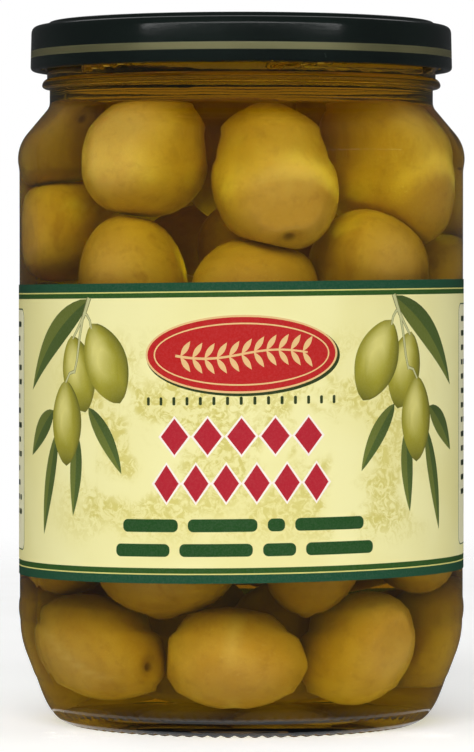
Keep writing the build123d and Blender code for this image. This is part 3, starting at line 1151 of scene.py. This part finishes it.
def label_material():
    """Printed coated paper: flat inks, a cream field with a faint leafy mottle, and a fine tooth."""
    n = Nodes(bpy.data.materials.new("label_paper"))
    place = n.place()
    x, y, z = n.split(place)
    field = n.attribute("field")
    clumps = n.noise(place, 75.0, detail=3.0, distortion=0.4)
    leaves = n.noise(place, 520.0, detail=6.0, roughness=0.7, distortion=1.2)
    fibres = n.noise(place, 2600.0, detail=3.0, roughness=0.7)
    # The mottle fills the middle of the front.
    height = n.times(n.stretch(z, 0.036, 0.044), n.stretch(z, 0.083, 0.070))
    across = n.times(n.stretch(x, -0.040, -0.028), n.stretch(x, 0.040, 0.028))
    grove = n.times(n.times(height, across), n.stretch(y, 0.0, -0.01))
    crowns = n.times(n.times(n.stretch(clumps, 0.42, 0.56), grove), field)
    wash = n.times(n.stretch(n.noise(place, 38.0, detail=2.0), 0.35, 0.65, 0.0, 0.45), field)
    paper = {
        "Base Color": n.tinted(
            n.attribute("ink", "Color"),
            (n.times(crowns, n.stretch(leaves, 0.42, 0.58, 0.15, 0.9)), srgb(206, 194, 96)),
            (wash, srgb(228, 218, 138)),
            (n.stretch(fibres, 0.35, 0.75, 0.0, 0.025), (1.0, 0.98, 0.9, 1.0)),
        ),
        "Roughness": n.stretch(fibres, 0.3, 0.7, 0.40, 0.52),
        "Specular IOR Level": 0.2,
        "Normal": n.bump(n.math("ADD", n.times(fibres, 0.15), n.noise(place, 90.0, detail=2.0)), 0.00003),
    }
    return n.finish(n.add("BsdfPrincipled", paper))


label.data.materials.append(label_material())
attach(label, "root")
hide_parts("label")

# -------- stage


def circle(r, z):
    """Points of a ring on the floor."""
    turn = np.linspace(0, 2 * pi, FLOOR_SEGMENTS, endpoint=False)
    return [(r * cos(a), r * sin(a), z) for a in turn]


def band(low):
    """Faces between the ring whose points start at low and the next ring outwards."""
    high = low + FLOOR_SEGMENTS
    steps = [(k, (k + 1) % FLOOR_SEGMENTS) for k in range(FLOOR_SEGMENTS)]
    return [(low + k, high + k, high + after, low + after) for k, after in steps]


def hide_from(thing, *rays):
    """Leaves a thing out of some kinds of rays."""
    for ray in rays:
        setattr(thing, "visible_" + ray, False)


def floor_material():
    """A pale floor that glows a little, and is clear towards its edge."""
    n = Nodes(bpy.data.materials.new("pale_floor"))
    length = n.add("VectorMath", {0: n.place()}, operation="LENGTH")
    fade = n.stretch(length.outputs["Value"], 0.22, (FLOOR_RADII[-1] - 20) * MM)
    speck = n.stretch(n.noise(n.place(), 40.0), 0.3, 0.7)
    matt = n.add("BsdfDiffuse", {"Color": n.mix(speck, srgb(240, 240, 238), srgb(244, 244, 243))})
    glow = n.add("Emission", {"Strength": 0.32})
    lit = n.add("AddShader", {0: matt.outputs[0], 1: glow.outputs[0]})
    return n.finish(n.mix_shader(fade, lit, n.add("BsdfTransparent")))


def sheen_material():
    """A pale glow, a little uneven."""
    n = Nodes(bpy.data.materials.new("floor_sheen"))
    tone = n.mix(n.stretch(n.noise(n.place(), 60.0), 0.3, 0.7), srgb(226, 232, 240), srgb(250, 250, 248))
    return n.finish(n.add("Emission", {"Color": tone, "Strength": 0.7}))


points = [(0, 0, 0)] + [p for r in FLOOR_RADII for p in circle(r, 0.0)]
faces = [(0, 1 + k, 1 + (k + 1) % FLOOR_SEGMENTS) for k in range(FLOOR_SEGMENTS)]
for ring in range(len(FLOOR_RADII) - 1):
    faces += band(1 + ring * FLOOR_SEGMENTS)
floor = add_mesh("floor", points, faces)
floor.data.materials.append(floor_material())
hide_from(floor, "glossy", "transmission")

# Two pale rings on the floor that only the underside of the glass mirrors.
points = [p for r in SHEEN_RADII for p in circle(r, 0.2)]
sheen = add_mesh("floor_sheen", points, band(0) + band(2 * FLOOR_SEGMENTS))
sheen.data.materials.append(sheen_material())
hide_from(sheen, "camera", "diffuse", "shadow", "transmission")


def add_lamp(name, kind, place, power, colour, only):
    """A lamp that is not seen itself. It lights everything, or only one piece."""
    lamp = bpy.data.lights.new(name, kind)
    lamp.energy = power
    lamp.color = colour
    thing = bpy.data.objects.new(name, lamp)
    thing.location = place
    hide_from(thing, "camera", "glossy", "transmission")
    if only:
        lit_pieces = bpy.data.collections.new(name)
        lit_pieces.objects.link(only)
        thing.light_linking.receiver_collection = lit_pieces
    scene.collection.objects.link(thing)
    return lamp, thing


def softbox(name, place, aim, width, height, power, spread=180.0, colour=(1, 1, 1), only=None):
    """A rectangular studio lamp. The glass mirrors it only if it is there for one piece."""
    lamp, thing = add_lamp(name, "AREA", place, power, colour, only)
    lamp.shape = "RECTANGLE"
    lamp.size, lamp.size_y = width, height
    lamp.spread = radians(spread)
    thing.rotation_euler = (Vector(aim) - Vector(place)).to_track_quat("-Z", "Y").to_euler()
    thing.visible_glossy = bool(only)


def sheet_of_light(name, azimuth, height, width, depth, strength, colour):
    """A thin slanting sheet of light that meets the glass at a height, as gathered by the shoulder's
    bulge. The strength is in watts per square metre."""
    outward, _ = out_and_along(azimuth)
    aim = (SHEET_AIM_R * outward + height * UP) * MM
    way = SHEET_OUT * outward + SHEET_UP * UP
    power = strength * width * depth * MM * MM
    place = aim + SHEET_REACH * way
    softbox(name, place, aim, width * MM, depth * MM, power, spread=2.0, colour=colour)


def inner_glow(name, height, power, piece):
    """A small lamp on the jar's axis, for one piece: it stands for light scattered about in the brine."""
    lamp, _ = add_lamp(name, "POINT", (0, 0, height * MM), power, (1.0, 1.25, 0.7), piece)
    lamp.shadow_soft_size = 0.01
    lamp.use_shadow = False


softbox("key", (-0.2, -1.4, 1.5), (0, 0, 0.07), 1.4, 0.9, 26.0)
softbox("low_fill", (0.3, -1.5, 0.12), (0, 0, 0.09), 1.4, 0.3, 3.8)
softbox("left", (-1.5, -0.4, 1.1), (0, 0, 0.07), 1.0, 0.8, 4.5)
softbox("right", (1.5, -0.4, 1.1), (0, 0, 0.07), 1.0, 0.8, 4.5)
softbox("top", (0.0, 0.3, 1.5), (0, 0, 0.1), 1.4, 0.8, 5.0)
softbox("glint", (1.18, -0.50, 0.42), (0, 0, 0.12), 1.1, 0.05, 0.1, only=glass)
softbox("lid_sheen", (0.0, 1.2, 1.3), (0, 0, 0.14), 1.6, 0.5, 2.0, only=lid)
softbox("lid_streak", (0.0, -1.0, 0.40), (0, 0, 0.14), 2.8, 0.05, 2.2, only=lid)
gathered = ((-75, 36, 0.45), (-36, 20, 0.4), (13, 34, 1.15), (62, 36, 0.4))
for k, (azimuth, width, share) in enumerate(gathered):
    sheet_of_light(f"gathered_{k}", azimuth, 113.0, width, 3.0, 7.0 * share, PALE)
    sheet_of_light(f"upper_{k}", azimuth, 119.5, width, 10.0, 2.2 * share, PALE)
sheet_of_light("low_sheet", 0, 15.5, 84, 6.5, 0.8, CREAMY)
inner_glow("glow_in_lid", 128.0, 0.014, lid)
inner_glow("glow_among_olives", 94.0, 0.015, olives)

world = bpy.data.worlds.new("studio")
scene.world = world
n = Nodes(world)
seen = n.add("Background", {"Color": (1.0, 1.0, 1.0, 1)})
room = n.add("Background", {"Color": (0.94, 0.97, 1.0, 1), "Strength": 0.05})
behind = n.add("Background", {"Color": (1.0, 0.49, 0.16, 1), "Strength": 0.44})
path = n.add("LightPath").outputs
_, away, up = n.split(n.add("TexCoord").outputs["Generated"])
# A warm glow behind the jar shows through its neck, to rays that have crossed both walls and the brine.
# It is left out where the sight slopes gently down, straight through the lower gaps between olives.
through_brine = n.math("GREATER_THAN", path["Transmission Depth"], 4.5)
bent = n.math("GREATER_THAN", n.math("ABSOLUTE", n.math("ADD", up, 0.062)), 0.037)
share = n.times(n.times(n.stretch(away, 0.62, 0.88), bent), through_brine)
light = n.mix_shader(share, room, behind)
light = n.mix_shader(path["Is Camera Ray"], light, seen)
n.add("OutputWorld", {"Surface": light.outputs[0]})

scene.view_settings.view_transform = "Standard"

camera = bpy.data.cameras.new("camera")
camera.lens = 219.1
camera.sensor_width = 36.0
view = bpy.data.objects.new("camera", camera)
view.location = (-0.00087, -0.930, 0.0891)
view.rotation_euler = (radians(90 - 1.16), 0, 0)
scene.collection.objects.link(view)
scene.camera = view
